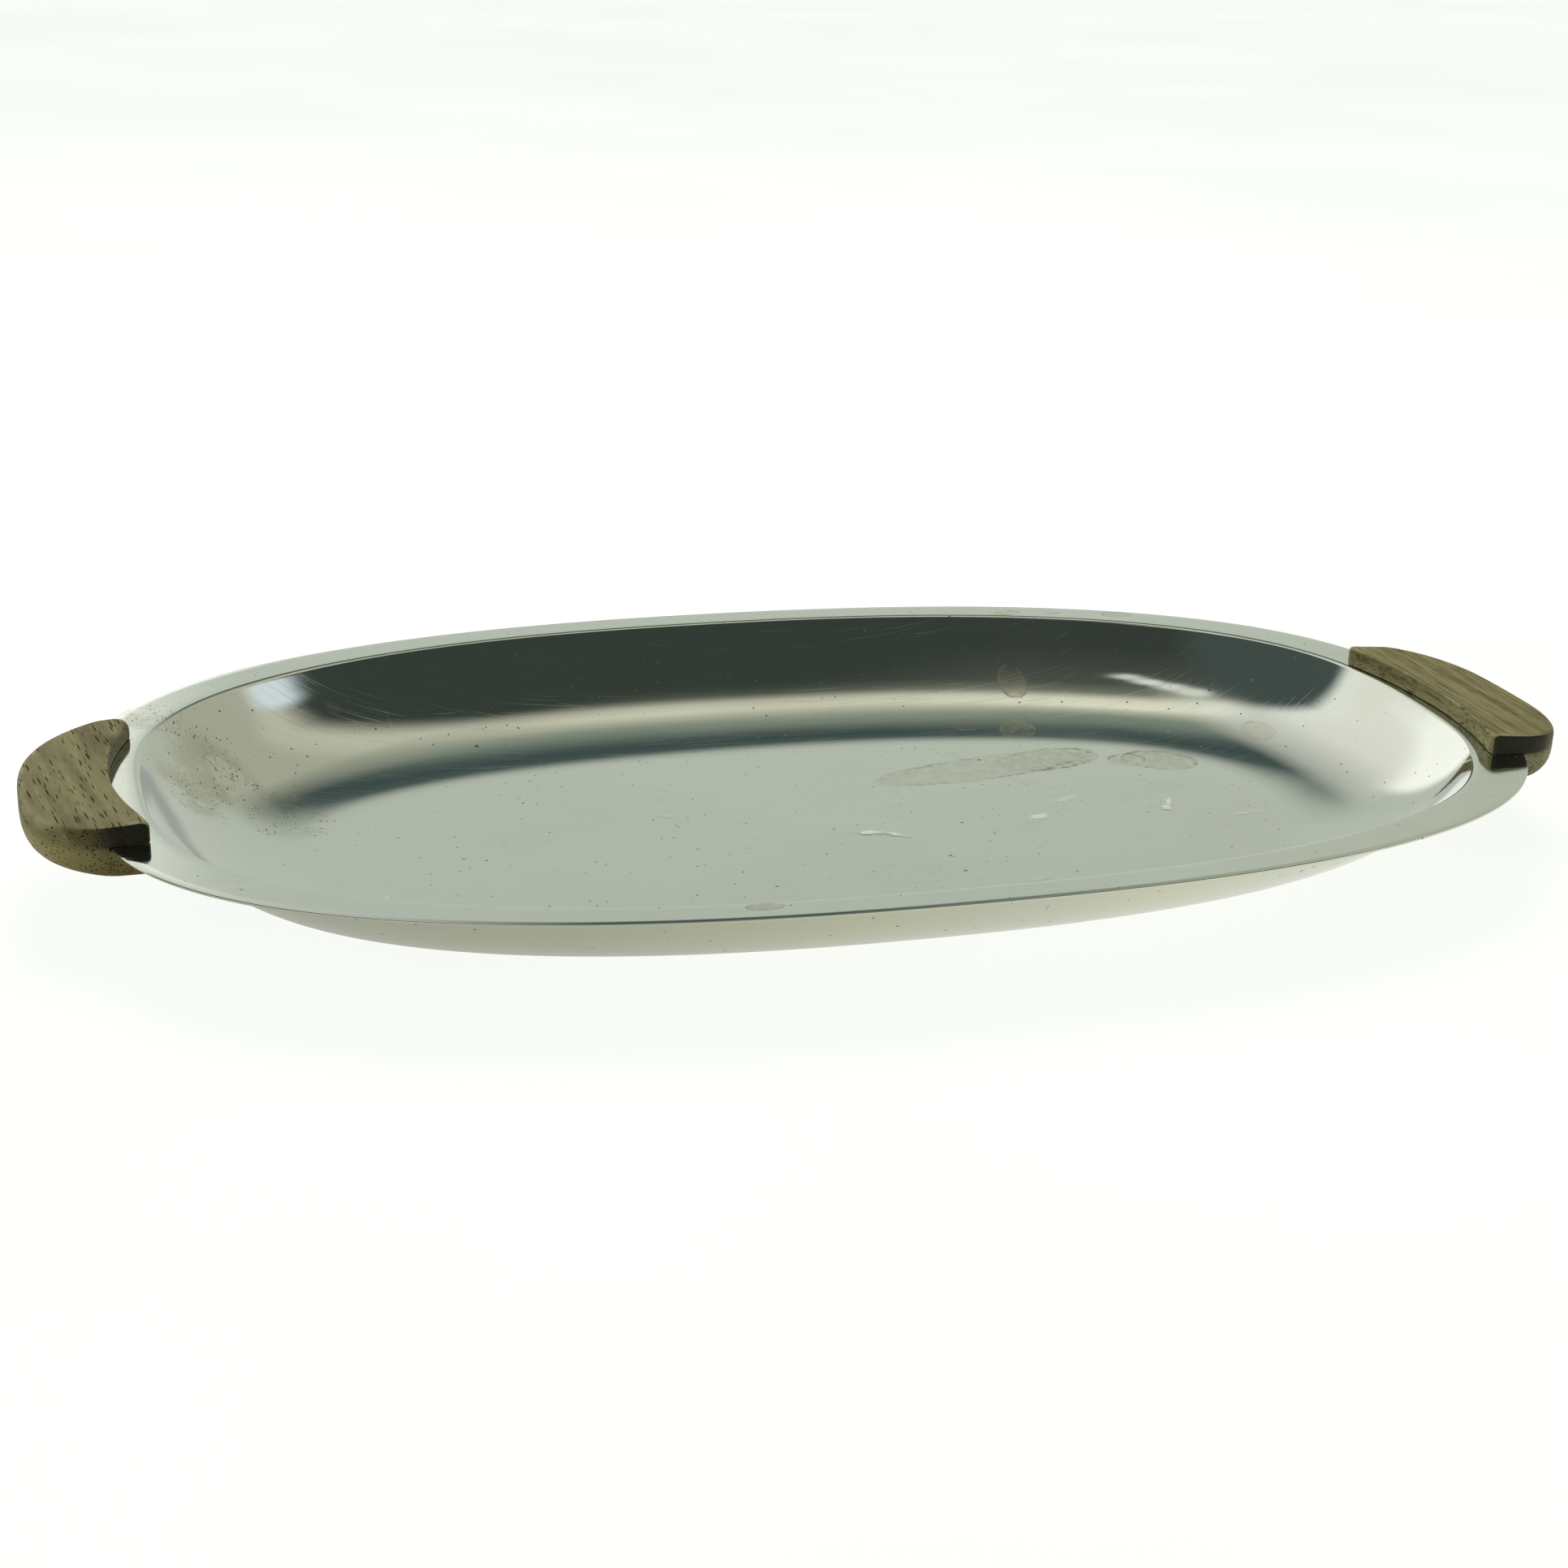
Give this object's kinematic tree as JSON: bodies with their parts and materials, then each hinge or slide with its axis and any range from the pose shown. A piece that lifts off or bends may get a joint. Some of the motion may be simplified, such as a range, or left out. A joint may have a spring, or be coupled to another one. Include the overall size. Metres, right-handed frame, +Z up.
{
  "type": "oval serving tray",
  "caption": "Shallow oval serving tray in pressed stainless steel with a flat rim and a scooped wooden handle slotted over each end.",
  "frame": {"origin": "middle of the underside, on the surface the tray stands on", "axes": "+X along the tray towards the right handle, +Y away from the person serving, +Z up"},
  "size_m": [0.432, 0.244, 0.034],
  "materials": {
    "stainless_steel": "polished, worn, with fine lengthwise scratches and water stains",
    "handle_wood": "open-pored hardwood, dry, with dark pores along the grain",
    "screw_steel": "dull"
  },
  "bodies": {
    "root": {"tray_dish": "stainless_steel", "left_handle": "handle_wood", "right_handle": "handle_wood", "left_screw_front": "screw_steel", "left_screw_rear": "screw_steel", "right_screw_front": "screw_steel", "right_screw_rear": "screw_steel"}
  },
  "joints": []
}
